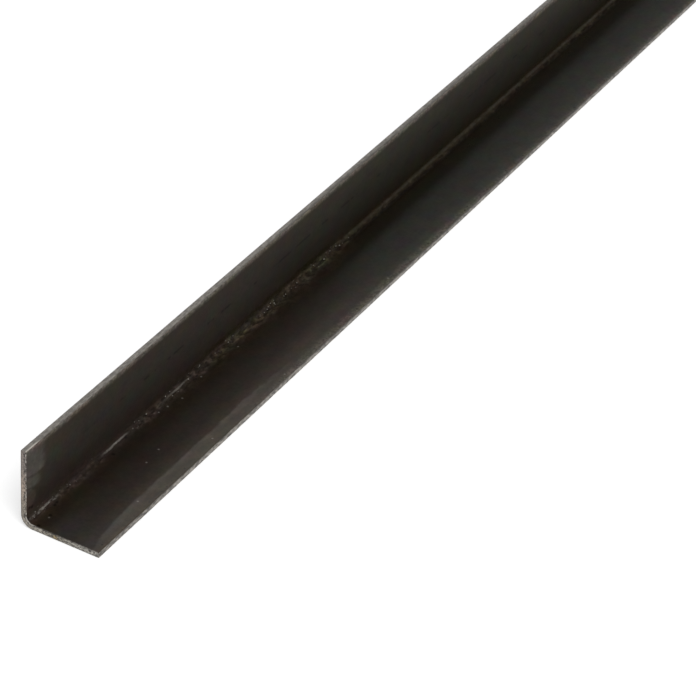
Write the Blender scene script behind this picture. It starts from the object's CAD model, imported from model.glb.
"""A length of bent steel angle with its mill scale on, lying on a plain white studio floor."""

import logging
import math
from dataclasses import dataclass, field
from enum import Enum, IntEnum

import bmesh
import bpy
from mathutils import Euler, Matrix, Vector, noise


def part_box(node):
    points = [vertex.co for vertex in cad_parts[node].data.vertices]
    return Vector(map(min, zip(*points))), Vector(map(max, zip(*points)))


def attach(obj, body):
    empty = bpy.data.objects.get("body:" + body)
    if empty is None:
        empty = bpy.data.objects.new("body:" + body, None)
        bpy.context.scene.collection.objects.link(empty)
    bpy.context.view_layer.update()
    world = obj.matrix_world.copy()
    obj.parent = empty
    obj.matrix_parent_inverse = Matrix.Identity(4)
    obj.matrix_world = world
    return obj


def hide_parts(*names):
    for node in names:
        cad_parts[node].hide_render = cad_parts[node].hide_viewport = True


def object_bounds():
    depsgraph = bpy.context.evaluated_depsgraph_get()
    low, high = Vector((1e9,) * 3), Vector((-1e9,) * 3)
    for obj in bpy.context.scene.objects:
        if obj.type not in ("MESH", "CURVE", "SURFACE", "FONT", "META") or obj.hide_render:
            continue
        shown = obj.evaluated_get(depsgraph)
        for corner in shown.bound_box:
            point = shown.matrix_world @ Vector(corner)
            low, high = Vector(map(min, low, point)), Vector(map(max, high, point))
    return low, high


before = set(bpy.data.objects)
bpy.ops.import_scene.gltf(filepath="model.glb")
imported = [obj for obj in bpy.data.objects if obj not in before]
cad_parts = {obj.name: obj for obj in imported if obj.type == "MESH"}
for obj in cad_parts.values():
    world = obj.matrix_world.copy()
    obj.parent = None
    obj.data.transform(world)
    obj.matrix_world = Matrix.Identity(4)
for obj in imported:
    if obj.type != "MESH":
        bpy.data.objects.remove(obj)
cad_low, cad_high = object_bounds()

MM = 0.001
log = logging.getLogger("angle")

Colour = tuple[float, float, float]
Span = tuple[float, float]
Spots = tuple[Span, ...]
Stops = tuple[tuple[float, object], ...]
Socket = bpy.types.NodeSocket
Edges = list[bmesh.types.BMEdge]


class Region(IntEnum):
    """The parts of the bar's skin that have a finish of their own, as material slots."""

    SCALE = 0
    SLIT_EDGE = 1
    CUT_END = 2


class Blend(Enum):
    """How a second colour is laid over a first."""

    OVER = "MIX"
    MULTIPLY = "MULTIPLY"


class Graph:
    """Adds and joins the nodes of one node tree."""

    def __init__(self, tree: bpy.types.NodeTree) -> None:
        """Take the tree to work on."""
        self.tree = tree

    def node(self, kind: str, inputs: dict | None = None, **settings: object) -> bpy.types.Node:
        """Add a node.

        Args:
            kind: The node's type name.
            inputs: A value or an output socket for each named or numbered input.
            settings: The node's own properties.

        Returns:
            The new node.
        """
        made = self.tree.nodes.new(kind)
        for name, value in settings.items():
            setattr(made, name, value)
        for name, value in (inputs or {}).items():
            self.feed(made.inputs[name], value)
        return made

    def feed(self, socket: Socket, value: object) -> None:
        """Set an input to a plain value, or link an output to it."""
        if isinstance(value, Socket):
            self.tree.links.new(value, socket)
        elif isinstance(value, tuple) and socket.type == "RGBA":
            socket.default_value = (*value, 1.0)
        else:
            socket.default_value = value

    def math(self, operation: str, *values: object, clamp: bool = False) -> Socket:
        """Combine numbers.

        Args:
            operation: The Math node's operation.
            values: One to three numbers or sockets.
            clamp: Whether the result is held between 0 and 1.

        Returns:
            The result's socket.
        """
        inputs = dict(enumerate(values))
        return self.node("ShaderNodeMath", inputs, operation=operation, use_clamp=clamp).outputs[0]

    def product(self, *values: object) -> Socket:
        """Multiply any number of values."""
        result = values[0]
        for value in values[1:]:
            result = self.math("MULTIPLY", result, value)
        return result

    def most(self, *values: object) -> Socket:
        """Take the largest of any number of values."""
        result = values[0]
        for value in values[1:]:
            result = self.math("MAXIMUM", result, value)
        return result

    def sway(self, value: object, by: object, reach: object) -> Socket:
        """Shift a value to and fro by noise round 0.5, as far as reach in all."""
        centred = self.math("SUBTRACT", by, 0.5)
        return self.math("MULTIPLY_ADD", centred, reach, value)

    def rise(self, value: object, start: float, end: float) -> Socket:
        """Turn a value into a smooth step.

        Args:
            value: The socket to read.
            start: Where the step is 0.
            end: Where it is 1, above or below start.

        Returns:
            A mask from 0 to 1.
        """
        inputs = {"Value": value, "From Min": start, "From Max": end}
        if start > end:
            inputs |= {"From Min": end, "From Max": start, "To Min": 1.0, "To Max": 0.0}
        made = self.node("ShaderNodeMapRange", inputs, interpolation_type="SMOOTHSTEP")
        return made.outputs["Result"]

    def band(self, value: object, centre: float, core: float, reach: float) -> Socket:
        """Mask a strip: 1 within core of the centre, 0 past reach."""
        away = self.math("ABSOLUTE", self.math("SUBTRACT", value, centre))
        return self.rise(away, reach, core)

    def lerp(self, factor: object, low: object, high: object) -> Socket:
        """Go from one number to another as factor goes from 0 to 1."""
        inputs = {"Value": factor, "To Min": low, "To Max": high}
        return self.node("ShaderNodeMapRange", inputs).outputs["Result"]

    def lay(self, factor: object, under: object, over: object, blend: Blend = Blend.OVER) -> Socket:
        """Lay one colour on another.

        Args:
            factor: How much of the upper colour shows.
            under: The lower colour.
            over: The upper colour.
            blend: How they combine.

        Returns:
            The combined colour.
        """
        made = self.node("ShaderNodeMix", data_type="RGBA", blend_type=blend.value)
        self.feed(made.inputs[0], factor)
        self.feed(made.inputs[6], under)
        self.feed(made.inputs[7], over)
        return made.outputs[2]

    def darken(self, factor: object, colour: object, by: Colour) -> Socket:
        """Multiply a colour by another one, as far as factor says."""
        return self.lay(factor, colour, by, Blend.MULTIPLY)

    def shade(self, colour: object, share: object) -> Socket:
        """Multiply a colour by a number."""
        made = self.node("ShaderNodeVectorMath", {0: colour}, operation="SCALE")
        self.feed(made.inputs["Scale"], share)
        return made.outputs[0]

    def vary(self, colour: object, by: object, amount: float) -> Socket:
        """Make a colour lighter and darker by noise round 0.5, by a share of amount in all."""
        return self.shade(colour, self.sway(1.0, by, amount))

    def mottle(self, colour: object, by: object, dark: object, light: object) -> Socket:
        """Break a colour up by noise round 0.5, into spots with a dark or a light share of it."""
        return self.shade(colour, self.lerp(self.rise(by, 0.35, 0.65), dark, light))

    def ramp(self, value: object, stops: Stops) -> Socket:
        """Read a row of colours or greys by place.

        Args:
            value: The place, in the stops' own unit.
            stops: The places and their colours or values from 0 to 1, in order.

        Returns:
            The colour there.
        """
        low, high = stops[0][0], stops[-1][0]
        share = self.node("ShaderNodeMapRange", {"Value": value, "From Min": low, "From Max": high})
        made = self.node("ShaderNodeValToRGB", {0: share.outputs["Result"]})
        elements = made.color_ramp.elements
        elements.remove(elements[-1])
        for number, (place, tone) in enumerate(stops):
            spot = (place - low) / (high - low)
            element = elements.new(spot) if number else elements[0]
            element.position = spot
            element.color = (*tone, 1.0) if isinstance(tone, tuple) else (tone, tone, tone, 1.0)
        return made.outputs["Color"]

    def noise(self, vector: object, scale: Colour, detail: float = 2.0, rough: float = 0.5) -> Socket:
        """Make cloudy noise.

        Args:
            vector: Where to read it.
            scale: Clouds per unit along each axis.
            detail: Octaves of finer clouds.
            rough: How strong the finer clouds are.

        Returns:
            A value round 0.5.
        """
        shift = (17 * scale[0] + 5 * detail, 31 * scale[1], 3 * rough)
        spread = self.node("ShaderNodeMapping", {"Vector": vector, "Scale": scale, "Location": shift})
        inputs = {"Vector": spread.outputs[0], "Scale": 1.0, "Detail": detail, "Roughness": rough}
        return self.node("ShaderNodeTexNoise", inputs).outputs["Fac"]

    def join(self, x: object, y: object, z: object = 0.0) -> Socket:
        """Make a vector of three numbers."""
        return self.node("ShaderNodeCombineXYZ", {0: x, 1: y, 2: z}).outputs[0]

    def distance(self, place: object, spot: Colour) -> Socket:
        """Measure how far a place is from a spot."""
        made = self.node("ShaderNodeVectorMath", {0: place, 1: spot}, operation="DISTANCE")
        return made.outputs["Value"]

    def blot(self, place: object, spot: Colour, size: Colour, ragged: object) -> Socket:
        """Mask an oval blot of half a size each way, with an edge frayed by noise round 0.5."""
        from_spot = self.node("ShaderNodeVectorMath", {0: place, 1: spot}, operation="SUBTRACT")
        scaled = self.node("ShaderNodeVectorMath", {0: from_spot.outputs[0], 1: size}, operation="DIVIDE")
        length = self.node("ShaderNodeVectorMath", {0: scaled.outputs[0]}, operation="LENGTH")
        return self.rise(self.sway(length.outputs["Value"], ragged, 0.9), 1.15, 0.8)

    def group(self, tree: bpy.types.NodeTree, inputs: dict | None = None) -> bpy.types.Node:
        """Place a node group."""
        return self.node("ShaderNodeGroup", inputs, node_tree=tree)

    def bump(self, shader: bpy.types.Node, height: Socket, distance: float) -> None:
        """Dent a shader's surface by a height from 0 to 1, where 1 stands for the distance."""
        made = self.node("ShaderNodeBump", {"Height": height, "Distance": distance, "Strength": 1.0})
        self.feed(shader.inputs["Normal"], made.outputs[0])


class Effects:
    """Node groups that several finishes share, each built once."""

    WALL_SPAN = 7.0  # how far the pattern's third number runs from one side of the wall to the other

    def __init__(self) -> None:
        """Build the groups."""
        self.strip = self.build_strip()
        self.flecks = self.build_flecks()
        self.grain = self.build_grain()
        self.tint = self.build_tint()

    @staticmethod
    def group(name: str, inputs: dict[str, tuple], outputs: dict[str, str]) -> bpy.types.NodeTree:
        """Start a node group.

        Args:
            name: The group's name.
            inputs: A socket type and a default for each input's name.
            outputs: A socket type for each output's name.

        Returns:
            The group, with its interface and its input and output nodes.
        """
        tree = bpy.data.node_groups.new(name, "ShaderNodeTree")
        for label, (kind, default) in inputs.items():
            socket = tree.interface.new_socket(label, in_out="INPUT", socket_type=kind)
            if default is not None:
                socket.default_value = default
        for label, kind in outputs.items():
            tree.interface.new_socket(label, in_out="OUTPUT", socket_type=kind)
        tree.nodes.new("NodeGroupInput").name = "In"
        tree.nodes.new("NodeGroupOutput").name = "Out"
        return tree

    def build_strip(self) -> bpy.types.NodeTree:
        """Make the group that unrolls the bar into the flat strip it came from, in millimetres."""
        outputs = {"Along": "NodeSocketFloat", "Across": "NodeSocketFloat"}
        outputs |= {"Depth": "NodeSocketFloat", "Place": "NodeSocketVector"}
        tree = self.group("strip_place", {}, outputs)
        graph = Graph(tree)
        place = graph.node("ShaderNodeTexCoord").outputs["Object"]
        from_end = graph.node("ShaderNodeMapping", {"Vector": place, "Location": (-cad_low.x, 0, 0)})
        x = graph.node("ShaderNodeSeparateXYZ", {0: from_end.outputs[0]}).outputs[0]
        along = graph.math("DIVIDE", x, MM)
        across = graph.node("ShaderNodeAttribute", attribute_name=BentAngle.ACROSS).outputs["Fac"]
        depth = graph.node("ShaderNodeAttribute", attribute_name=BentAngle.DEPTH).outputs["Fac"]
        joined = graph.join(along, across, graph.product(depth, self.WALL_SPAN))
        out = tree.nodes["Out"]
        for label, value in (("Along", along), ("Across", across), ("Depth", depth), ("Place", joined)):
            graph.feed(out.inputs[label], value)
        return tree

    def build_flecks(self) -> bpy.types.NodeTree:
        """Make the group of small scattered spots: a cell pattern with most of its cells left out."""
        inputs = {
            "Place": ("NodeSocketVector", None),
            "Scale": ("NodeSocketFloat", 0.3),
            "Share": ("NodeSocketFloat", 0.3),
            "Size": ("NodeSocketFloat", 0.3),
        }
        tree = self.group("flecks", inputs, {"Mask": "NodeSocketFloat"})
        graph = Graph(tree)
        given = tree.nodes["In"].outputs
        cell = graph.node("ShaderNodeTexVoronoi", {"Vector": given["Place"], "Scale": given["Scale"]})
        lot = graph.node("ShaderNodeSeparateColor", {0: cell.outputs["Color"]})
        chosen = graph.math("LESS_THAN", lot.outputs[0], given["Share"])
        reach = graph.product(given["Size"], graph.lerp(lot.outputs[1], 0.4, 1.0))
        near = graph.math("DIVIDE", cell.outputs["Distance"], reach)
        spot = graph.rise(near, 1.0, 0.4)
        graph.feed(tree.nodes["Out"].inputs["Mask"], graph.product(chosen, spot))
        return tree

    def build_grain(self) -> bpy.types.NodeTree:
        """Make the group of fine granular relief: noise with small pits in it."""
        inputs = {
            "Place": ("NodeSocketVector", None),
            "Scale": ("NodeSocketFloat", 1.0),
            "Pits": ("NodeSocketFloat", 0.3),
        }
        tree = self.group("grain", inputs, {"Height": "NodeSocketFloat"})
        graph = Graph(tree)
        given = tree.nodes["In"].outputs
        where = {"Vector": given["Place"], "Scale": given["Scale"]}
        fine = graph.node("ShaderNodeTexNoise", where | {"Detail": 3.0, "Roughness": 0.6})
        cell = graph.node("ShaderNodeTexVoronoi", where, feature="SMOOTH_F1")
        pit = graph.product(given["Pits"], graph.rise(cell.outputs["Distance"], 0.45, 0.1))
        height = graph.math("SUBTRACT", fine.outputs["Fac"], pit)
        graph.feed(tree.nodes["Out"].inputs["Height"], height)
        return tree

    def build_tint(self) -> bpy.types.NodeTree:
        """Make the group that lets a colour drift between warm, green and blue, as thin oxide does."""
        inputs = {
            "Colour": ("NodeSocketColor", None),
            "Place": ("NodeSocketVector", None),
            "Amount": ("NodeSocketFloat", 0.5),
        }
        tree = self.group("oxide_tint", inputs, {"Colour": "NodeSocketColor"})
        graph = Graph(tree)
        given = tree.nodes["In"].outputs
        spread = graph.node("ShaderNodeMapping", {"Vector": given["Place"], "Scale": (0.24, 0.3, 1.0)})
        where = {"Vector": spread.outputs[0], "Scale": 1.0, "Detail": 0.7}
        cloud = graph.node("ShaderNodeTexNoise", where).outputs["Color"]
        centred = graph.node("ShaderNodeVectorMath", {0: cloud, 1: (0.5, 0.5, 0.5)}, operation="SUBTRACT")
        scaled = graph.shade(centred.outputs[0], given["Amount"])
        around = graph.node("ShaderNodeVectorMath", {0: scaled, 1: (1, 1, 1)}, operation="ADD")
        drifted = graph.lay(1.0, given["Colour"], around.outputs[0], Blend.MULTIPLY)
        graph.feed(tree.nodes["Out"].inputs["Colour"], drifted)
        return tree


def add_object(name: str, data: bpy.types.ID, where: Matrix | None = None) -> bpy.types.Object:
    """Put an object in the scene.

    Args:
        name: The object's name.
        data: Its mesh, camera or lamp.
        where: Its place and turn, if it isn't at the origin.

    Returns:
        The object.
    """
    made = bpy.data.objects.new(name, data)
    made.matrix_world = where or Matrix()
    bpy.context.scene.collection.objects.link(made)
    return made


def add_mesh(name: str, mesh: bmesh.types.BMesh) -> bpy.types.Object:
    """Put a mesh that is ready in the scene, as an object at the origin."""
    data = bpy.data.meshes.new(name)
    mesh.to_mesh(data)
    mesh.free()
    return add_object(name, data)


def blank_material(name: str) -> tuple[bpy.types.Material, Graph, bpy.types.Node]:
    """Start a material.

    Args:
        name: The material's name.

    Returns:
        The material, its graph and its Principled BSDF.
    """
    material = bpy.data.materials.new(name)
    material.use_nodes = True
    return material, Graph(material.node_tree), material.node_tree.nodes["Principled BSDF"]


class Strip:
    """Where each point of the skin lay in the flat strip, as sockets of one material's graph."""

    def __init__(self, graph: Graph, effects: Effects) -> None:
        """Place the shared group and read it.

        Args:
            graph: The material's graph.
            effects: The shared node groups.
        """
        found = graph.group(effects.strip).outputs
        self.graph = graph
        self.effects = effects
        self.along, self.across = found["Along"], found["Across"]
        self.depth, self.place = found["Depth"], found["Place"]
        self.upright = graph.rise(self.across, -1.0, 1.0)

    def noise(self, scale: Colour, detail: float = 2.0, rough: float = 0.5) -> Socket:
        """Make cloudy noise that lies still on the strip."""
        return self.graph.noise(self.place, scale, detail, rough)

    def per_leg(self, flat: object, upright: object) -> Socket:
        """Go from the flat leg's value to the upright leg's, round the bend."""
        return self.graph.lerp(self.upright, flat, upright)

    def flecks(self, scale: float, share: float, size: float, place: Socket | None = None) -> Socket:
        """Mask small spots, by cells per millimetre, the share that hold one, and its size in cells."""
        inputs = {"Place": place or self.place, "Scale": scale, "Share": share, "Size": size}
        return self.graph.group(self.effects.flecks, inputs).outputs[0]

    def grain(self, scale: float, pits: float, place: Socket | None = None) -> Socket:
        """Make the height of fine granular relief, by grains per millimetre and the pits' depth."""
        inputs = {"Place": place or self.place, "Scale": scale, "Pits": pits}
        return self.graph.group(self.effects.grain, inputs).outputs[0]


@dataclass(frozen=True)
class HeelCrust:
    """The crust that bending cracked out of the scale in the corner, from the near end on.

    All lengths are in millimetres, and each row of stops goes along the bar.
    """

    strength: Stops = (
        (0, 0.7), (10, 0.6), (26, 0.7), (30, 0.35), (37, 0.35), (42, 0.8), (70, 0.85), (78, 1.0),
        (124, 0.95), (140, 0.5), (300, 0.5), (418, 0.3), (430, 0.9), (468, 0.8), (486, 0.3),
        (694, 0.3), (706, 0.9), (742, 1.0), (760, 0.3), (930, 0.3), (970, 0.6), (1000, 0.6),
    )
    half_spread: Stops = (
        (0, 0.5), (9, 0.55), (14, 0.8), (25, 0.8), (30, 0.5), (37, 0.5), (42, 0.75), (70, 0.8), (80, 0.95),
        (124, 0.95), (140, 0.45), (418, 0.45), (430, 0.9), (468, 0.9), (486, 0.45), (694, 0.45),
        (706, 0.95), (742, 0.9), (760, 0.45), (1000, 0.45),
    )
    rubbed: Stops = (
        (0, 0.05), (2, 0.2), (4, 0.9), (9, 0.8), (11, 0.05), (28, 0.0), (29.5, 0.75), (36, 0.95), (37, 0.0),
        (54, 0.0), (56, 0.6), (61, 0.5), (64, 0.0), (1000, 0.0),
    )
    spread: float = 2.6
    height: float = 0.32
    coarse_lump: float = 1.2
    fine_lump: float = 0.55
    least_lump: float = 0.12
    wander: float = 0.2
    fold_height: float = 0.11
    fold_place: float = -2.9
    fold_width: float = 1.5
    lean: float = -0.25
    broken_from: float = 0.5

    @staticmethod
    def read(stops: Stops, place: float) -> float:
        """Read a row of values by place.

        Args:
            stops: The places and their values, in order.
            place: Where to read.

        Returns:
            The value there, in a straight line between the stops on either side.
        """
        before = stops[0]
        for stop in stops[1:]:
            if place < stop[0]:
                share = max((place - before[0]) / (stop[0] - before[0]), 0.0)
                return before[1] + (stop[1] - before[1]) * share
            before = stop
        return before[1]

    def broken_at(self, along: float) -> bool:
        """Tell whether the corner is broken up there, so that its mesh has to be fine."""
        return self.read(self.strength, along) > self.broken_from

    def rise_at(self, along: float, across: float) -> float:
        """Find how far the crust stands proud.

        Args:
            along: Millimetres from the near end.
            across: Millimetres across the strip from the bend's middle.

        Returns:
            Millimetres.
        """
        strength = self.read(self.strength, along)
        spread = self.spread * self.read(self.half_spread, along)
        window = math.exp(-(((across - self.lean) / spread) ** 2))
        coarse = noise.noise(Vector((along / 1.5, across / 1.3, 1.7)))
        fine = noise.noise(Vector((along / 0.9, across / 0.7, 8.2)))
        lump = self.least_lump + self.coarse_lump * coarse + self.fine_lump * fine
        tilt = self.wander * across * noise.noise(Vector((along / 3.2, 5.5, 0.4)))
        off_fold = (across - self.fold_place) / self.fold_width
        beside = math.exp(-(off_fold**2)) * max(0.0, strength - self.broken_from)
        fold = noise.noise(Vector(((along + 0.8 * across) / 2.6, across / 1.5, 4.4)))
        proud = self.height * lump + tilt
        return strength * window * proud + self.fold_height * 2 * beside * fold


@dataclass(frozen=True)
class ScaleLayers:
    """The masks and noises that the mill scale is made of."""

    inner: Socket
    drift: Socket
    worn: Socket
    mottle: Socket
    blotch: Socket
    fine: Socket
    band: Socket
    rim: Socket
    crust: Socket
    smear: Socket
    shade: Socket
    hollow: Socket
    bare: Socket


@dataclass(frozen=True)
class MillScale:
    """Dark oxide left on from rolling: satin, brown-black near the end and greyer further on.

    Stops and spans are in millimetres across or along the strip. Only the crust's stops go from its
    hollows at 0 to its proudest crumbs at 1.
    """

    toe: float
    near_tones: Stops = (
        (-18.7, (0.030, 0.024, 0.018)), (-14.4, (0.034, 0.025, 0.019)), (-11.6, (0.0205, 0.0155, 0.012)),
        (-4, (0.013, 0.0095, 0.006)), (-1.8, (0.0175, 0.0125, 0.008)), (-0.6, (0.011, 0.0065, 0.004)),
        (1.8, (0.026, 0.0185, 0.0145)), (4, (0.0225, 0.0165, 0.013)), (12, (0.029, 0.025, 0.020)),
        (18.7, (0.029, 0.021, 0.014)),
    )
    far_change: Span = (88, 142)
    far_sway: float = 70
    far_tones: Stops = (
        (-18.7, (0.037, 0.0345, 0.029)), (-14.5, (0.0225, 0.0215, 0.017)), (-8.5, (0.018, 0.0175, 0.0145)),
        (-5.8, (0.0085, 0.0075, 0.0045)), (-2.5, (0.0095, 0.007, 0.0035)), (-0.9, (0.004, 0.0015, 0.0)),
        (0.4, (0.017, 0.012, 0.0045)), (3, (0.014, 0.011, 0.0065)), (8, (0.0185, 0.0165, 0.0125)),
        (14.5, (0.026, 0.023, 0.016)), (18.7, (0.026, 0.022, 0.0145)),
    )
    near_dullness: Stops = (
        (-18.6, 0.30), (-15.0, 0.30), (-14.0, 0.35), (-3.0, 0.35), (-1.8, 0.5), (1.8, 0.5), (3.0, 0.4),
        (18.6, 0.4),
    )
    far_dullness: Stops = (
        (-18.6, 0.5), (-7.5, 0.5), (-5.0, 0.3), (-2.0, 0.3), (-1.2, 0.85), (-0.3, 0.8), (0.2, 0.35),
        (1.6, 0.3), (2.4, 0.4), (18.6, 0.4),
    )
    back_tone: Colour = (0.0195, 0.017, 0.014)
    back_dullness: float = 0.42
    near_crust: Stops = (
        (0, (0.015, 0.0095, 0.0065)), (0.5, (0.028, 0.0185, 0.0135)), (1, (0.056, 0.041, 0.032)),
    )
    mid_crust: Stops = (
        (0, (0.0185, 0.0135, 0.007)), (0.5, (0.028, 0.021, 0.012)), (1, (0.050, 0.040, 0.0255)),
    )
    crust_change: Span = (60, 78)
    crust_dullness: float = 0.85
    smear_tone: Colour = (0.0165, 0.011, 0.0065)
    border_shade: Colour = (0.72, 0.74, 0.48)
    pit_shade: Colour = (0.3, 0.26, 0.23)
    bare_tone: Colour = (0.30, 0.28, 0.25)
    bare_shine: float = 0.6
    patch_tones: Stops = ((6.3, (0.068, 0.048, 0.038)), (8.3, (0.080, 0.071, 0.063)))
    patch_gap_shade: Colour = (0.5, 0.48, 0.44)
    scratch_place: float = 10.95
    scratch_start: Span = (10, 45)
    scratch_shade: Colour = (0.42, 0.42, 0.46)
    haze_tone: Colour = (0.0265, 0.0235, 0.0215)
    haze_place: float = -11.5
    haze_end: Span = (15, 2)
    worn_tone: Colour = (0.113, 0.098, 0.079)
    flat_wear: Stops = ((0, 0.1), (60, 0.1), (82, 0.52), (150, 0.45), (190, 0.35), (1000, 0.3))
    rim_change: Span = (60, 130)
    worn_width: Span = (1.75, 1.8)
    flat_width: Stops = ((0, 1.8), (70, 1.8), (85, 2.7), (150, 2.7), (190, 1.8), (1000, 1.8))
    band_tones: Stops = (
        (-18.7, (0.032, 0.023, 0.011)), (-16.8, (0.0345, 0.025, 0.0145)), (-15.2, (0.048, 0.038, 0.0285)),
    )
    pale_band: Colour = (0.047, 0.042, 0.035)
    pale_end: Span = (26, 6)
    band_edge: float = -15.1
    band_retreat: Stops = (
        (0, 0.6), (2, 0.4), (6, 0.2), (12, 0.05), (20, 0.0), (70, 0.0), (78, 0.1), (90, 0.35),
        (110, 0.6), (1000, 1.0),
    )
    band_strength: Stops = (
        (0, 0.5), (5, 0.9), (20, 1.0), (42, 1.0), (52, 0.85), (63, 0.85), (70, 0.65), (76, 0.5), (85, 0.25),
        (110, 0.1), (140, 0.0), (1000, 0.0),
    )
    band_coat: float = 0.35
    coat_roughness: float = 0.15
    gloss: float = 0.1
    bump_height: float = 0.16 * MM
    end_scuff: Stops = (
        (0, 1.15), (3, 0.6), (8, 0.35), (14, 0.2), (24, 0.08), (36, 0.0), (1000, 0.0),
    )
    specks: Spots = (
        (4.0, -3.3), (49.0, -1.8), (52.0, -2.3), (56.5, -3.3), (66.0, -2.3), (81.0, -2.9),
        (32.0, -9.7), (37.5, -9.3), (19.3, -15.8), (47.5, -17.0), (77.7, -17.5), (126.0, -17.5),
    )
    speck_size: float = 0.36
    speck_strength: float = 0.32
    nicks: Spots = (
        (0.5, -3.0), (1.1, 3.4), (2.1, 3.1), (0.3, 0.6), (8.2, -1.8), (9.2, -1.6), (4.8, -3.1), (30.3, -2.1),
        (36.8, -0.7), (55.4, 0.9), (64.2, 0.3), (65.6, -1.2), (70.6, 0.2), (148.0, -1.7), (151.0, -1.4),
        (161.0, -1.5), (163.0, -1.3), (187.0, -1.6), (206.0, -1.4),
    )

    def material(self, effects: Effects) -> bpy.types.Material:
        """Build the finish's material.

        Args:
            effects: The shared node groups.

        Returns:
            The material.
        """
        made, graph, shader = blank_material("mill_scale")
        strip = Strip(graph, effects)
        layers = self.layers(strip)
        graph.feed(shader.inputs["Base Color"], self.colour(strip, layers))
        graph.feed(shader.inputs["Roughness"], self.dullness(strip, layers))
        graph.feed(shader.inputs["Coat Weight"], graph.product(layers.band, layers.inner, self.band_coat))
        shader.inputs["Coat Roughness"].default_value = self.coat_roughness
        shader.inputs["Specular IOR Level"].default_value = self.gloss
        graph.feed(shader.inputs["Metallic"], graph.product(layers.bare, self.bare_shine))
        graph.bump(shader, self.height(strip, layers), self.bump_height)
        return made

    def layers(self, strip: Strip) -> ScaleLayers:
        """Make the masks and noises that the scale's methods share."""
        graph = strip.graph
        inner = graph.rise(strip.depth, 0.7, 0.3)
        drift = strip.noise((0.035, 0.12, 1.0), detail=3)
        crust, smear, shade = self.crust_masks(strip)
        sparkle, hollow = self.sparkles(strip)
        return ScaleLayers(
            inner=inner,
            drift=drift,
            worn=graph.rise(graph.sway(strip.along, drift, self.far_sway), *self.far_change),
            mottle=strip.noise((0.3, 0.5, 1.0), detail=3),
            blotch=strip.noise((0.22, 0.5, 1.0), detail=4),
            fine=strip.noise((1.2, 1.2, 1.0), detail=4),
            band=self.toe_band(strip),
            rim=self.worn_border(strip),
            crust=crust,
            smear=smear,
            shade=shade,
            hollow=hollow,
            bare=graph.product(graph.most(self.bare_mask(strip), sparkle), inner),
        )

    def colour(self, strip: Strip, layers: ScaleLayers) -> Socket:
        """Colour the scale, from its rolled bands up to the bare steel that shows through."""
        graph = strip.graph
        patch, gap = self.patch(strip)
        rubbed = graph.vary(graph.ramp(strip.across, self.patch_tones), layers.blotch, 0.6)
        sandy = strip.noise((1.3, 1.5, 1.0), detail=2)
        colour = graph.lay(layers.band, self.rolled_colour(strip, layers), self.band_colour(strip, layers))
        colour = graph.lay(patch, self.scuffed(strip, layers, colour), rubbed)
        colour = graph.darken(gap, colour, self.patch_gap_shade)
        colour = graph.lay(layers.rim, colour, graph.mottle(self.worn_tone, sandy, 0.65, 1.35))
        colour = self.crusted(strip, layers, colour)
        colour = graph.vary(colour, strip.noise((0.02, 0.9, 1.0), detail=3), 0.12)
        colour = graph.darken(self.scratch(strip), colour, self.scratch_shade)
        colour = graph.lay(layers.inner, graph.vary(self.back_tone, layers.mottle, 0.9), colour)
        colour = graph.vary(colour, layers.fine, 0.7)
        amount = graph.lerp(graph.most(patch, layers.rim), graph.lerp(layers.worn, 0.5, 0.6), 0.3)
        inputs = {"Colour": colour, "Place": strip.place, "Amount": amount}
        tinted = graph.group(strip.effects.tint, inputs).outputs["Colour"]
        return graph.lay(layers.bare, tinted, self.bare_tone)

    def crusted(self, strip: Strip, layers: ScaleLayers, colour: Socket) -> Socket:
        """Lay the crust on a colour, with its smears, its dark border and the small pits."""
        graph = strip.graph
        colour = graph.lay(layers.smear, colour, graph.vary(self.smear_tone, layers.blotch, 1.2))
        colour = graph.darken(layers.shade, colour, self.border_shade)
        lumps = graph.node("ShaderNodeAttribute", attribute_name=BentAngle.CRUST).outputs["Fac"]
        colour = graph.lay(layers.crust, colour, self.crumb_colour(strip, lumps))
        crumbled = graph.product(graph.rise(lumps, -0.07, -0.14), layers.crust, 0.5)
        nick = graph.rise(self.nearest(strip, self.nicks), 0.6, 0.2)
        sunk = graph.most(crumbled, layers.hollow, self.rim_pits(strip), nick)
        return graph.darken(sunk, colour, self.pit_shade)

    def dullness(self, strip: Strip, layers: ScaleLayers) -> Socket:
        """Find how rough the scale is: satin on the legs and dull in the crust."""
        graph = strip.graph
        near, far = (graph.ramp(strip.across, stops) for stops in (self.near_dullness, self.far_dullness))
        dull = graph.lerp(layers.inner, self.back_dullness, graph.lay(layers.worn, near, far))
        return graph.lerp(layers.crust, graph.sway(dull, layers.mottle, 0.12), self.crust_dullness)

    def height(self, strip: Strip, layers: ScaleLayers) -> Socket:
        """Make the fine relief, which is strongest in the crust and along the worn border."""
        graph = strip.graph
        rough_rim = graph.product(layers.rim, strip.per_leg(1.0, 0.4))
        grainy = graph.most(graph.product(layers.crust, 0.55), rough_rim, 0.05)
        grain = graph.product(strip.grain(1.9, 0.5), grainy)
        return graph.math("MULTIPLY_ADD", layers.fine, graph.lerp(layers.crust, 0.0, 0.6), grain)

    def rolled_colour(self, strip: Strip, layers: ScaleLayers) -> Socket:
        """Colour the plain scale in lengthwise bands, as it is near the end and, where worn, past it."""
        graph = strip.graph
        near = graph.ramp(graph.sway(strip.across, layers.mottle, 0.5), self.near_tones)
        swayed = graph.sway(strip.across, strip.noise((0.07, 0.2, 1.0)), 1.6)
        return graph.lay(layers.worn, near, graph.ramp(swayed, self.far_tones))

    def band_colour(self, strip: Strip, layers: ScaleLayers) -> Socket:
        """Colour the polished band along the flat leg's toe, paler beside the near end."""
        graph = strip.graph
        polished = graph.vary(graph.ramp(strip.across, self.band_tones), layers.blotch, 1.6)
        inward = graph.rise(strip.across, -18.5, -16.0)
        paler = graph.product(graph.rise(strip.along, *self.pale_end), inward, 0.6)
        return graph.lay(paler, polished, self.pale_band)

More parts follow.
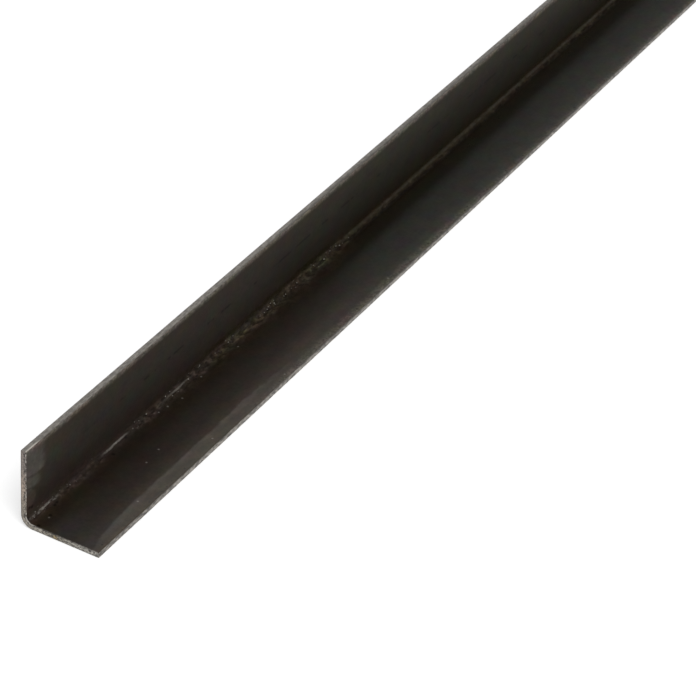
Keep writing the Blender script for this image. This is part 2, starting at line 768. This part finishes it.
    def scuffed(self, strip: Strip, layers: ScaleLayers, colour: Socket) -> Socket:
        """Scuff a colour towards the near end, and lay the pale haze there."""
        graph = strip.graph
        inward = graph.lerp(graph.rise(strip.across, -12.0, -5.0), 0.45, strip.per_leg(1.7, 0.75))
        scuff = graph.product(graph.ramp(strip.along, self.end_scuff), inward)
        dark, light = (graph.math("MULTIPLY_ADD", scuff, share, 1.0) for share in (0.3, 0.75))
        fading = graph.rise(strip.along, *self.haze_end)
        haze = graph.product(fading, graph.band(strip.across, self.haze_place, 3.0, 7.0), 0.7)
        return graph.lay(haze, graph.mottle(colour, layers.drift, dark, light), self.haze_tone)

    def crumb_colour(self, strip: Strip, lumps: Socket) -> Socket:
        """Colour the crust's crumbs, paler the prouder they stand."""
        graph = strip.graph
        swell = graph.rise(lumps, -0.09, 0.16)
        near, further = (graph.ramp(swell, tones) for tones in (self.near_crust, self.mid_crust))
        crumb = graph.lay(graph.rise(strip.along, *self.crust_change), near, further)
        return graph.vary(crumb, strip.noise((0.8, 0.9, 1.0)), 1.5)

    def toe_band(self, strip: Strip) -> Socket:
        """Mask the polished band along the flat leg's toe, which narrows away from both sides."""
        graph = strip.graph
        ragged = strip.noise((0.25, 0.4, 1.0), detail=4)
        frayed = graph.sway(strip.across, ragged, graph.lerp(graph.rise(strip.along, 30, 75), 0.7, 3.0))
        retreat = graph.product(graph.ramp(strip.along, self.band_retreat), 3.2)
        edge = graph.math("ADD", frayed, retreat)
        mask = graph.rise(edge, self.band_edge + 0.3, self.band_edge - 0.5)
        return graph.product(mask, graph.ramp(strip.along, self.band_strength))

    def worn_border(self, strip: Strip) -> Socket:
        """Mask the ragged border along both toes, where the scale has chipped and worn off."""
        graph = strip.graph
        chips = strip.noise((0.45, 0.9, 1.0), detail=4, rough=0.65)
        outward = graph.sway(graph.math("ABSOLUTE", strip.across), chips, 0.8)
        rim_width = graph.lerp(graph.rise(strip.along, *self.rim_change), *self.worn_width)
        width = strip.per_leg(graph.ramp(strip.along, self.flat_width), rim_width)
        inside = graph.math("DIVIDE", graph.math("SUBTRACT", outward, self.toe), width)
        strength = strip.per_leg(graph.ramp(strip.along, self.flat_wear), 0.95)
        return graph.product(graph.rise(inside, -0.9, -0.15), strength)

    def rim_pits(self, strip: Strip) -> Socket:
        """Mask the small pits along both toes."""
        graph = strip.graph
        at_rim = graph.band(graph.math("ABSOLUTE", strip.across), self.toe - 0.75, 0.25, 0.8)
        return graph.product(strip.flecks(0.9, 0.6, 0.36), at_rim, strip.per_leg(0.8, 0.3))

    def patch(self, strip: Strip) -> tuple[Socket, Socket]:
        """Mask the pale patches that the saw rubbed beside the near end, and the dark line between."""
        graph = strip.graph
        ragged = strip.noise((0.35, 0.4, 1.0), detail=3)
        further, higher = graph.sway(strip.along, ragged, 2.0), graph.sway(strip.across, ragged, 1.2)
        slanted = graph.math("MULTIPLY_ADD", further, 0.22, higher)
        fading = graph.lerp(graph.rise(higher, 17.5, 14.0), 0.4, 1.0)
        upper = graph.product(graph.rise(further, 7.6, 5.6), graph.rise(higher, 10.9, 11.7), fading)
        lower = graph.product(graph.rise(further, 5.6, 3.4), graph.rise(slanted, 8.3, 9.2))
        foot = graph.blot(strip.place, (0.4, 5.8, 0.0), (2.8, 2.6, 9.0), ragged)
        line = graph.product(graph.band(slanted, 11.7, 0.1, 0.55), graph.rise(further, 5.5, 3.5), 0.5)
        masks = graph.product(upper, 0.9), graph.product(lower, 0.8), graph.product(foot, 0.5)
        return graph.most(*masks), line

    def crust_masks(self, strip: Strip) -> tuple[Socket, Socket, Socket]:
        """Mask the crust in the corner, the brown smears beside it and its dark upper border."""
        graph, crust = strip.graph, HeelCrust()
        strength = graph.ramp(strip.along, crust.strength)
        spread = graph.product(graph.ramp(strip.along, crust.half_spread), 2.0)
        ragged = graph.sway(strip.across, strip.noise((0.4, 0.7, 1.0), detail=3), 2.0)
        from_middle = graph.math("ABSOLUTE", graph.math("SUBTRACT", ragged, crust.lean))
        away = graph.math("DIVIDE", from_middle, spread)
        lump = graph.rise(strip.noise((0.45, 0.8, 1.0), detail=3), 0.36, 0.56)
        mask = graph.product(strength, graph.rise(away, 1.5, 0.7), lump)
        scallop = graph.sway(strip.across, strip.noise((0.16, 0.1, 1.0), detail=3), 4.0)
        smear = graph.product(graph.band(scallop, -2.6, 1.2, 2.8), graph.rise(strength, 0.5, 0.9), 0.8)
        shade = graph.product(graph.band(ragged, 2.5, 0.5, 1.2), graph.rise(strength, 0.7, 0.95))
        return mask, smear, shade

    def scratch(self, strip: Strip) -> Socket:
        """Mask the broken dark line that runs down the upright leg."""
        graph = strip.graph
        wandering = graph.sway(strip.across, strip.noise((0.02, 0.0, 0.0)), 1.0)
        line = graph.band(wandering, self.scratch_place, 0.1, 0.45)
        broken = graph.rise(strip.noise((0.25, 0.0, 0.0), detail=2), 0.5, 0.58)
        return graph.product(line, broken, graph.rise(strip.along, *self.scratch_start))

    def sparkles(self, strip: Strip) -> tuple[Socket, Socket]:
        """Mask the bright grains in the crust, and the small hollow beside each."""
        graph = strip.graph
        clusters = graph.rise(strip.noise((0.16, 0.1, 1.0), detail=1), 0.42, 0.54)
        broken = graph.rise(graph.ramp(strip.along, HeelCrust().strength), 0.5, 0.8)
        strength = graph.product(broken, clusters, 0.9)
        beside = graph.node("ShaderNodeMapping", {"Vector": strip.place, "Location": (0.3, 0.35, 0)})
        grains = strip.flecks(1.1, 0.8, 0.36)
        hollows = strip.flecks(1.1, 0.8, 0.5, beside.outputs[0])
        grains = graph.product(grains, graph.band(strip.across, 0.4, 0.7, 1.8), strength)
        hollows = graph.product(hollows, graph.band(strip.across, 0.1, 0.7, 1.8), strength)
        return grains, hollows

    def bare_mask(self, strip: Strip) -> Socket:
        """Mask the bare steel: the rubbed line in the corner and stray flecks."""
        graph = strip.graph
        flat_place = graph.join(strip.along, strip.across)
        wander = graph.noise(flat_place, (0.4, 0.0, 0.0), detail=3)
        off_line = graph.math("SUBTRACT", graph.sway(strip.across, wander, 1.0), 0.05)
        reach = graph.sway(graph.lerp(graph.rise(strip.along, 9, 12), 0.62, 0.46), wander, 0.7)
        line = graph.rise(graph.math("DIVIDE", graph.math("ABSOLUTE", off_line), reach), 1.0, 0.3)
        sandy = graph.noise(flat_place, (1.3, 1.8, 1.0), detail=3)
        smoother = graph.product(graph.rise(strip.along, 12, 26), 0.65)
        gritty = graph.most(graph.rise(sandy, 0.34, 0.6), smoother)
        rub = graph.product(line, graph.ramp(strip.along, HeelCrust().rubbed), gritty, 0.65)
        speck = graph.rise(self.nearest(strip, self.specks), self.speck_size, 0.1)
        return graph.most(rub, graph.product(speck, self.speck_strength))

    @staticmethod
    def nearest(strip: Strip, spots: Spots) -> Socket:
        """Measure how far a place is from the nearest of a few spots, in millimetres."""
        flat_place = strip.graph.join(strip.along, strip.across)
        far, *others = (strip.graph.distance(flat_place, (*spot, 0.0)) for spot in spots)
        for away in others:
            far = strip.graph.math("MINIMUM", far, away)
        return far


@dataclass(frozen=True)
class SlitEdge:
    """Bare steel along the toes, torn by the slitting knives and dulled since."""

    flat_tone: Colour = (0.209, 0.193, 0.171)
    upright_tone: Colour = (0.192, 0.177, 0.158)
    rolled_tone: Colour = (0.042, 0.035, 0.027)
    fleck_tone: Colour = (0.05, 0.045, 0.04)
    lip_tone: Colour = (0.45, 0.42, 0.37)
    flat_roll: Span = (0.15, 0.29)
    upright_roll: Span = (0.02, 0.34)
    roll_change: Span = (60, 130)
    dull_change: Span = (90, 230)
    lip_end: Span = (6, 3)
    upright_tearing: float = 0.65
    roughness: float = 0.5
    shine: float = 0.5
    bump_height: float = 0.14 * MM

    def material(self, effects: Effects) -> bpy.types.Material:
        """Build the finish's material.

        Args:
            effects: The shared node groups.

        Returns:
            The material.
        """
        made, graph, shader = blank_material("slit_edge")
        strip = Strip(graph, effects)
        tearing = strip.per_leg(1.0, self.upright_tearing)
        colour = graph.lay(strip.upright, self.flat_tone, self.upright_tone)
        dulled = graph.product(graph.rise(strip.along, *self.dull_change), strip.upright, 0.1)
        colour = graph.lay(dulled, colour, self.rolled_tone)
        torn = strip.noise((0.7, 1.0, 0.4), detail=3, rough=0.6)
        colour = graph.mottle(colour, torn, strip.per_leg(0.4, 0.72), strip.per_leg(1.7, 1.28))
        flecks = graph.product(strip.flecks(1.1, 0.3, 0.4), tearing, 0.6)
        colour = graph.lay(flecks, colour, self.fleck_tone)
        clean = self.clean_mask(strip, tearing)
        colour = graph.lay(clean, self.rolled_tone, colour)
        along_lip = graph.band(strip.depth, 0.12, 0.08, 0.2)
        lip = graph.product(graph.rise(strip.along, *self.lip_end), strip.upright, along_lip)
        graph.feed(shader.inputs["Base Color"], graph.lay(lip, colour, self.lip_tone))
        graph.feed(shader.inputs["Metallic"], graph.product(clean, self.shine))
        shader.inputs["Roughness"].default_value = self.roughness
        graph.bump(shader, graph.product(strip.grain(1.4, 0.7), tearing), self.bump_height)
        return made

    def clean_mask(self, strip: Strip, tearing: Socket) -> Socket:
        """Mask the bare steel past the rolled-over edge, with a ragged border."""
        graph = strip.graph
        further = graph.rise(strip.along, *self.roll_change)
        roll = strip.per_leg(*(graph.lerp(further, *ends) for ends in (self.flat_roll, self.upright_roll)))
        softness = graph.lerp(graph.product(further, strip.upright), 0.2, 0.4)
        inside = graph.math("DIVIDE", graph.math("SUBTRACT", strip.depth, roll), softness)
        chips = strip.noise((0.3, 1.0, 0.3), detail=2)
        return graph.rise(graph.sway(inside, chips, graph.product(tearing, 2.2)), -1.0, 1.0)


@dataclass(frozen=True)
class CutEnd:
    """The cut across the bar: bare steel with a crumbled grain, stained here and there."""

    tones: Stops = (
        (-13, (0.29, 0.275, 0.245)), (-7.5, (0.18, 0.16, 0.125)), (-3, (0.34, 0.315, 0.27)),
        (4, (0.22, 0.19, 0.155)), (9, (0.27, 0.215, 0.175)), (14, (0.165, 0.14, 0.125)),
    )
    inner_light: Span = (0.58, 0.74)
    outer_light: Span = (0.97, 1.35)
    heel_shadow: float = 0.48
    stain: Colour = (0.20, 0.145, 0.055)
    stain_place: Colour = (-7.6, 1.0, 0.0)
    burr_tone: Colour = (0.48, 0.45, 0.41)
    edge_shade: Colour = (0.55, 0.53, 0.51)
    rim_shade: Colour = (0.3, 0.29, 0.28)
    crack_tone: Colour = (0.035, 0.025, 0.022)
    roughness: float = 0.55
    rim_roughness: float = 0.9
    shine: float = 0.35
    bump_height: float = 0.14 * MM

    def material(self, effects: Effects) -> bpy.types.Material:
        """Build the finish's material.

        Args:
            effects: The shared node groups.

        Returns:
            The material.
        """
        made, graph, shader = blank_material("cut_end")
        strip = Strip(graph, effects)
        depth = strip.depth
        place = graph.join(strip.across, graph.product(depth, 1.5), strip.along)
        crumbs = graph.noise(place, (1.1, 1.1, 1.0), detail=4, rough=0.65)
        spot = graph.sway(graph.distance(place, self.stain_place), crumbs, 0.9)
        stained = graph.product(graph.rise(spot, 1.0, 0.3), 0.6)
        upright = graph.rise(strip.across, -3.0, 0.0)
        plain = graph.shade(graph.ramp(strip.across, self.tones), self.light(strip, upright, crumbs))
        colour = graph.lay(stained, plain, self.stain)
        coarse = graph.noise(place, (1.5, 1.8, 1.0), detail=4, rough=0.7)
        even = graph.product(upright, graph.rise(depth, 0.4, 0.65))
        colour = graph.mottle(colour, coarse, graph.lerp(even, 0.3, 0.75), graph.lerp(even, 1.75, 1.3))
        colour = graph.darken(graph.rise(depth, 0.72, 0.88), colour, self.edge_shade)
        shaded = graph.product(graph.rise(depth, 0.18, 0.04), graph.math("SUBTRACT", 1.0, upright))
        colour = graph.darken(shaded, colour, self.edge_shade)
        burr = graph.product(graph.rise(depth, 0.24, 0.05), graph.rise(crumbs, 0.48, 0.58), upright)
        colour = graph.lay(burr, colour, self.burr_tone)
        bend = graph.band(strip.across, -0.4, 1.4, 2.6)
        pressed = graph.product(bend, graph.band(depth, 0.12, 0.05, 0.15), 0.7)
        colour = graph.lay(pressed, colour, self.burr_tone)
        beside = graph.lerp(upright, graph.rise(depth, 0.9, 0.5), graph.band(depth, 0.26, 0.2, 0.36))
        speckled = graph.product(strip.flecks(1.7, 1.0, 0.65, place), beside, 0.9)
        groove = graph.product(bend, graph.band(depth, 0.36, 0.03, 0.14), 0.5)
        cracks = graph.most(speckled, groove, self.folds(graph, place))
        colour = graph.lay(cracks, colour, self.crack_tone)
        rim = graph.rise(depth, 0.9, 0.97)
        graph.feed(shader.inputs["Base Color"], graph.darken(rim, colour, self.rim_shade))
        graph.feed(shader.inputs["Roughness"], graph.lerp(rim, self.roughness, self.rim_roughness))
        graph.feed(shader.inputs["Metallic"], graph.lerp(rim, self.shine, 0.0))
        graph.bump(shader, strip.grain(2.0, 0.7, place), self.bump_height)
        return made

    def light(self, strip: Strip, upright: Socket, crumbs: Socket) -> Socket:
        """Find how light the cut is: darkest on its inner side beside the bend, palest outside."""
        graph = strip.graph
        shadow = graph.product(graph.band(strip.across, -3.7, 2.6, 5.0), self.heel_shadow)
        inner = graph.product(graph.lerp(upright, *self.inner_light), graph.math("SUBTRACT", 1.0, shadow))
        outer = graph.lerp(graph.rise(strip.across, 1.0, 8.0), *self.outer_light)
        from_inside = graph.rise(graph.sway(strip.depth, crumbs, 0.5), 0.05, 0.45)
        return graph.lerp(graph.rise(strip.depth, 0.45, 0.75), graph.lerp(from_inside, inner, 1.0), outer)

    @staticmethod
    def folds(graph: Graph, place: Socket) -> Socket:
        """Mask the two dark lines that bending opened across the wall, on the inside of the bend."""
        parts = graph.node("ShaderNodeSeparateXYZ", {0: place}).outputs
        slant = graph.math("MULTIPLY_ADD", parts[1], 0.7, parts[0])
        above = graph.product(graph.band(slant, 1.9, 0.05, 0.3), graph.rise(parts[1], 1.1, 0.7))
        below = graph.product(graph.band(slant, -3.0, 0.1, 0.8), graph.rise(parts[1], 0.4, 0.15))
        return graph.product(graph.most(above, below), 0.8)


@dataclass
class BentAngle:
    """The bar: slit strip, bent once along its middle and cut off square.

    Lengths of the plain form are in metres, those of its relief and finer cuts in millimetres.
    """

    low: Vector
    high: Vector
    name: str = "angle_bar_steel"
    thickness: float = 1.5 * MM
    inside_radius: float = 1.5 * MM
    roll_over: float = 0.4 * MM
    roll_segments: int = 4
    edge_break: float = 0.1 * MM
    wall_steps: int = 3
    toe_step: float = 0.5 * MM
    band_step: float = 1.6 * MM
    band_steps: int = 2
    flat_steps: int = 8
    heel_step: float = 0.32 * MM
    heel_steps: int = 6
    bend_steps: int = 16
    sharp_angle: float = math.radians(35)
    ring: float = 2.0 * MM
    crust_cuts: int = 4
    plain_cuts: int = 2
    toe_cuts: int = 2
    cap_cuts: int = 3
    fine_length: float = 320.0
    bend_margin: float = 1.8
    slack: float = 0.05
    crust: HeelCrust = HeelCrust()
    ridge_height: float = 0.11
    ridge_start: float = 10.0
    ridge_place: float = 14.8
    ridge_end: float = 105.0
    ridge_fade: float = 50.0
    torn_depth: float = 0.07
    crumb_depth: float = 0.12
    crumb_reach: float = 0.15
    waviness: float = 0.03
    wave_size: Span = (23.0, 7.0)
    crease_depths: Span = (0.09, 0.17)
    crease_run: float = 250.0
    crease_place: float = 0.25
    crease_sway: float = 0.5
    crease_widths: Span = (0.9, 2.2)

    ACROSS = "across_mm"
    DEPTH = "depth"
    CRUST = "crust_mm"

    @property
    def centre(self) -> Vector:
        """The bend's centre, in the section's plane at the near end."""
        outside_radius = self.inside_radius + self.thickness
        return Vector((self.low.x, self.high.y - outside_radius, self.low.z + outside_radius))

    @property
    def flat_length(self) -> float:
        """How far each leg runs straight, from its toe to the bend."""
        return self.high.z - self.centre.z

    @property
    def reach(self) -> float:
        """How far across the strip each toe lies from the bend's middle, in millimetres."""
        return self.strip_place(Vector((0, self.high.y, self.high.z)))[0]

    def strip_place(self, point: Vector) -> tuple[float, float]:
        """Find where a point of the section lay in the flat strip.

        Args:
            point: The point.

        Returns:
            How far across the strip it lay from the bend's middle, in millimetres, positive on the
            upright leg, and its depth below the inner face as a share of the thickness.
        """
        y, z = point.y - self.centre.y, point.z - self.centre.z
        neutral = self.inside_radius + self.thickness / 2
        half_bend = neutral * math.pi / 4
        if y < 0:
            across, radius = y - half_bend, -z
        elif z > 0:
            across, radius = z + half_bend, y
        else:
            across, radius = (math.atan2(y, -z) - math.pi / 4) * neutral, math.hypot(y, z)
        return across / MM, (radius - self.inside_radius) / self.thickness

    def build(self) -> bpy.types.Object:
        """Make the bar's mesh.

        Returns:
            The bar, in place, with its materials still to come.
        """
        mesh = bmesh.new()
        self.draw_section(mesh)
        self.draw_out(mesh)
        self.ease_toes(mesh)
        self.ease_ends(mesh)
        self.cut_rings(mesh)
        self.cut_finer(mesh)
        self.sort_faces(mesh)
        self.roughen(mesh)
        bar = add_mesh(self.name, mesh)
        bar.data.shade_smooth()
        bar.data.set_sharp_from_angle(angle=self.sharp_angle)
        return bar

    @staticmethod
    def draw_rows(mesh: bmesh.types.BMesh, line: Edges, step: Vector, times: int) -> Edges:
        """Draw a line of edges sideways into a band of faces.

        Args:
            mesh: The mesh they are in.
            line: The edges to start from.
            step: How far each row of faces goes.
            times: How many rows.

        Returns:
            The edges of the far side.
        """
        for _ in range(times):
            grown = bmesh.ops.extrude_edge_only(mesh, edges=line)["geom"]
            ends = {item for item in grown if isinstance(item, bmesh.types.BMVert)}
            bmesh.ops.translate(mesh, vec=step, verts=list(ends))
            edges = (item for item in grown if isinstance(item, bmesh.types.BMEdge))
            line = [edge for edge in edges if set(edge.verts) <= ends]
        return line

    def draw_leg(self, mesh: bmesh.types.BMesh, line: Edges, way: Vector, outward: bool) -> Edges:
        """Draw one straight leg of the section.

        Args:
            mesh: The section's mesh.
            line: The edges across the wall to start from.
            way: The direction to draw in.
            outward: Whether it goes from the bend to the toe.

        Returns:
            The edges across the wall at the leg's far side.
        """
        runs = [(self.toe_step, 1), (self.band_step, self.band_steps)]
        left = self.flat_length - sum(length * times for length, times in runs)
        left -= self.heel_step * self.heel_steps
        runs += [(left / self.flat_steps, self.flat_steps), (self.heel_step, self.heel_steps)]
        for length, times in runs[::-1] if outward else runs:
            line = self.draw_rows(mesh, line, way * length, times)
        return line

    def draw_section(self, mesh: bmesh.types.BMesh) -> None:
        """Draw the section at the near end: flat leg, bend and upright leg."""
        toe = self.low.copy()
        ends = [mesh.verts.new(toe), mesh.verts.new(toe + Vector((0, 0, self.thickness)))]
        wall = mesh.edges.new(ends)
        bmesh.ops.subdivide_edges(mesh, edges=[wall], cuts=self.wall_steps - 1)
        line = self.draw_leg(mesh, list(mesh.edges), Vector((0, 1, 0)), False)
        corners = list({vert for edge in line for vert in edge.verts})
        turned = bmesh.ops.spin(
            mesh,
            geom=corners + line,
            cent=self.centre,
            axis=(1, 0, 0),
            angle=math.pi / 2,
            steps=self.bend_steps,
            use_merge=False,
        )
        line = [item for item in turned["geom_last"] if isinstance(item, bmesh.types.BMEdge)]
        self.draw_leg(mesh, line, Vector((0, 0, 1)), True)

    def draw_out(self, mesh: bmesh.types.BMesh) -> None:
        """Draw the section out to the bar's length."""
        grown = bmesh.ops.extrude_face_region(mesh, geom=list(mesh.faces))["geom"]
        moved = [item for item in grown if isinstance(item, bmesh.types.BMVert)]
        bmesh.ops.translate(mesh, vec=(self.high.x - self.low.x, 0, 0), verts=moved)
        bmesh.ops.recalc_face_normals(mesh, faces=mesh.faces)

    def long_edges(self, mesh: bmesh.types.BMesh) -> Edges:
        """List the edges that run from end to end."""
        half = (self.high.x - self.low.x) / 2
        return [edge for edge in mesh.edges if abs(edge.verts[0].co.x - edge.verts[1].co.x) > half]

    def ease_toes(self, mesh: bmesh.types.BMesh) -> None:
        """Roll over the inner edge of each toe and break the outer one."""
        inner, outer = [], []
        for edge in self.long_edges(mesh):
            across, depth = self.strip_place(edge.verts[0].co)
            if self.at_toe(across) and depth < self.slack:
                inner.append(edge)
            elif self.at_toe(across) and depth > 1 - self.slack:
                outer.append(edge)
        self.bevel(mesh, inner, self.roll_over, self.roll_segments)
        self.bevel(mesh, outer, self.edge_break, 1)

    def at_toe(self, across: float) -> bool:
        """Tell whether a place across the strip is on the face of a toe."""
        return abs(across) > self.reach - self.slack

    @staticmethod
    def bevel(mesh: bmesh.types.BMesh, edges: Edges, offset: float, segments: int) -> None:
        """Round edges over in a few segments, or break them in one."""
        bmesh.ops.bevel(
            mesh, geom=edges, offset=offset, segments=segments, profile=0.5, affect="EDGES", material=-1
        )

    @staticmethod
    def at_end(face: bmesh.types.BMFace) -> bool:
        """Tell whether a face belongs to a cut end."""
        return abs(face.normal.x) > 0.9

    def ease_ends(self, mesh: bmesh.types.BMesh) -> None:
        """Break the rims of both cut ends."""
        mesh.normal_update()
        rims = [edge for edge in mesh.edges if len(set(map(self.at_end, edge.link_faces))) == 2]
        self.bevel(mesh, rims, self.edge_break, 1)

    def cut_rings(self, mesh: bmesh.types.BMesh) -> None:
        """Cut the bar into rings along its length."""
        count = round((self.high.x - self.low.x) / self.ring)
        bmesh.ops.subdivide_edges(mesh, edges=self.long_edges(mesh), cuts=count - 1, use_grid_fill=True)

    def cut_finer(self, mesh: bmesh.types.BMesh) -> None:
        """Cut the corner, the toes and the cut ends finer, where their relief is small."""
        mesh.normal_update()
        crust, corner, toes, caps = [], [], [], []
        heel = self.heel_step * self.heel_steps / MM + self.bend_margin
        for edge in mesh.edges:
            first, second = (vert.co for vert in edge.verts)
            across, depth = self.strip_place(first)
            if abs(first.x - second.x) > self.ring / 2:
                along = ((first.x + second.x) / 2 - self.low.x) / MM
                near = along < self.fine_length
                in_corner = depth < self.slack and abs(across) < heel
                if in_corner and self.crust.broken_at(along):
                    crust.append(edge)
                elif in_corner and near:
                    corner.append(edge)
                elif self.at_toe(across) and near:
                    toes.append(edge)
            elif (first - second).length > self.ring / 2 and all(map(self.at_end, edge.link_faces)):
                caps.append(edge)
        counts = (self.crust_cuts, self.plain_cuts, self.toe_cuts, self.cap_cuts)
        for edges, cuts in zip((crust, corner, toes, caps), counts):
            bmesh.ops.subdivide_edges(mesh, edges=edges, cuts=cuts, use_grid_fill=True, use_single_edge=True)

    def sort_faces(self, mesh: bmesh.types.BMesh) -> None:
        """Give each face the region whose finish it wears."""
        mesh.normal_update()
        rolled = self.roll_over / MM * (1 - math.sin(math.pi / 4))
        for face in mesh.faces:
            across, _ = self.strip_place(face.calc_center_median())
            if abs(face.normal.x) > 0.6:
                face.material_index = Region.CUT_END
            elif abs(across) > self.reach - rolled:
                face.material_index = Region.SLIT_EDGE
            else:
                face.material_index = Region.SCALE

    def relief(self, along: float, across: float, depth: float) -> float:
        """Find how far the skin stands from its plain form.

        Args:
            along: Millimetres from the near end.
            across: Millimetres across the strip from the bend's middle.
            depth: Below the inner face, as a share of the thickness.

        Returns:
            Millimetres, outwards, and never above 0 on the outer faces and toes.
        """
        if self.at_toe(across):
            torn = noise.noise(Vector((along / 0.9, depth * 2.2, across)))
            return self.torn_depth * 0.5 * (torn - 1.0)
        length, width = self.wave_size
        wave = noise.noise(Vector((along / length, across / width, depth * 9.0)))
        if depth > 0.5:
            return self.waviness * 0.5 * (wave - 1.0)
        height = self.waviness * 0.5 * wave + self.crust.rise_at(along, across)
        return height - self.hollow_at(along, across) - self.crease_at(along, across)

    def crease_at(self, along: float, across: float) -> float:
        """Find how deep the bend is creased, steeply from the flat leg and gently up the other."""
        sway = self.crease_sway * noise.noise(Vector((along / 7.0, 2.2, 0.0)))
        off_line = across - self.crease_place - sway
        width = self.crease_widths[off_line > 0]
        first, last = self.crease_depths
        depth = first + (last - first) * min(along / self.crease_run, 1.0)
        return depth * math.exp(-((off_line / width) ** 2))

    def hollow_at(self, along: float, across: float) -> float:
        """Find how deep the flat leg dips beside the low ridge that ends it, in millimetres."""
        half_bend = (self.inside_radius + self.thickness / 2) * math.pi / 4
        from_upright = -across + (self.inside_radius - half_bend) / MM
        if not self.ridge_start / 2 < from_upright < self.ridge_place:
            return 0.0
        fade = max(0.0, min(1.0, (self.ridge_end - along) / self.ridge_fade))
        if from_upright > self.ridge_start:
            share = (from_upright - self.ridge_start) / (self.ridge_place - self.ridge_start)
            return self.ridge_height * fade * (1 - share**2)
        share = from_upright / self.ridge_start * 2 - 1
        return self.ridge_height * fade * share**2 * (3 - 2 * share)

    def roughen(self, mesh: bmesh.types.BMesh) -> None:
        """Give the skin its relief, and store each point's place in the flat strip."""
        mesh.normal_update()
        across_layer = mesh.verts.layers.float.new(self.ACROSS)
        depth_layer = mesh.verts.layers.float.new(self.DEPTH)
        crust_layer = mesh.verts.layers.float.new(self.CRUST)
        moves = []
        for vert in mesh.verts:
            across, depth = self.strip_place(vert.co)
            vert[across_layer], vert[depth_layer] = across, depth
            along = (vert.co.x - self.low.x) / MM
            vert[crust_layer] = self.crust.rise_at(along, across) if depth < 0.5 else 0.0
            from_end = min(along, (self.high.x - self.low.x) / MM - along)
            if from_end < self.crumb_reach:
                crumb = noise.noise(Vector((across / 0.5, depth * 2.5, along / 0.1)))
                worn_off = self.crumb_depth * (0.25 if depth > 0.9 else 0.5)
                moves.append((vert, vert.normal * (worn_off * (crumb - 1.0) * MM)))
            else:
                moves.append((vert, vert.normal * (self.relief(along, across, depth) * MM)))
        for vert, move in moves:
            vert.co += move


@dataclass
class Viewpoint:
    """The camera: above and in front of the near end, with a long lens."""

    place: Vector = field(default_factory=lambda: Vector((-0.90871, -0.28084, 0.39810)))
    tip: float = math.radians(55.076)
    roll: float = math.radians(-3.308)
    heading: float = math.radians(-59.915)
    lens: float = 154.41
    sensor: float = 36.0
    sight: float = 100.0

    def build(self) -> None:
        """Put the camera in the scene and look through it."""
        data = bpy.data.cameras.new("camera")
        data.sensor_width = self.sensor
        data.lens = self.lens
        data.clip_end = self.sight
        turn = Euler((self.tip, self.roll, self.heading)).to_matrix()
        where = Matrix.Translation(self.place) @ turn.to_4x4()
        bpy.context.scene.camera = add_object("camera", data, where)


@dataclass
class Studio:
    """A white floor under an even white sky, with one soft lamp."""

    floor_size: float = 60.0
    floor_colour: Colour = (0.86, 0.86, 0.86)
    floor_lift: float = 0.4
    sky: float = 0.62
    lamp_place: Vector = field(default_factory=lambda: Vector((-1.6, -1.4, 2.4)))
    lamp_aim: Vector = field(default_factory=lambda: Vector((-0.35, 0, 0)))
    lamp_size: float = 1.6
    lamp_power: float = 34.0

    def build(self) -> None:
        """Lay the floor, light the sky and hang the lamp."""
        self.build_floor()
        self.build_sky()
        self.hang_lamp()
        bpy.context.scene.view_settings.view_transform = "Standard"

    @staticmethod
    def seen(graph: Graph) -> Socket:
        """Mask what the camera, a reflection or a see-through surface looks at."""
        path = graph.node("ShaderNodeLightPath").outputs
        direct = graph.math("ADD", path["Is Camera Ray"], path["Is Glossy Ray"])
        return graph.math("ADD", direct, path["Is Transmission Ray"], clamp=True)

    def build_floor(self) -> None:
        """Lay the floor."""
        mesh = bmesh.new()
        bmesh.ops.create_grid(mesh, x_segments=1, y_segments=1, size=self.floor_size / 2)
        floor = add_mesh("floor", mesh)
        material, graph, shader = blank_material("floor")
        shader.inputs["Base Color"].default_value = (*self.floor_colour, 1)
        shader.inputs["Roughness"].default_value = 1.0
        shader.inputs["Specular IOR Level"].default_value = 0.0
        shader.inputs["Emission Color"].default_value = (1, 1, 1, 1)
        graph.feed(shader.inputs["Emission Strength"], graph.product(self.seen(graph), self.floor_lift))
        floor.data.materials.append(material)

    def build_sky(self) -> None:
        """Light the sky evenly, and show it as plain white."""
        world = bpy.data.worlds.new("sky")
        world.use_nodes = True
        bpy.context.scene.world = world
        graph = Graph(world.node_tree)
        background = world.node_tree.nodes["Background"]
        background.inputs["Color"].default_value = (1, 1, 1, 1)
        graph.feed(background.inputs["Strength"], graph.lerp(self.seen(graph), self.sky, 1.0))

    def hang_lamp(self) -> None:
        """Hang a square soft lamp that faces the near part of the bar."""
        data = bpy.data.lights.new("key", "AREA")
        data.size = self.lamp_size
        data.energy = self.lamp_power
        turn = (self.lamp_aim - self.lamp_place).to_track_quat("-Z", "Y").to_matrix()
        add_object("key", data, Matrix.Translation(self.lamp_place) @ turn.to_4x4())


def main() -> None:
    """Build the scene."""
    logging.basicConfig(level=logging.INFO)
    Viewpoint().build()
    Studio().build()
    angle = BentAngle(*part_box("angle_bar"))
    bar = angle.build()
    effects = Effects()
    for finish in (MillScale(angle.reach), SlitEdge(), CutEnd()):
        bar.data.materials.append(finish.material(effects))
    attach(bar, "root")
    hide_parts("angle_bar")
    triangles = sum(len(polygon.vertices) - 2 for polygon in bar.data.polygons)
    log.info("%s: %d triangles", bar.name, triangles)


if __name__ == "__main__":
    main()
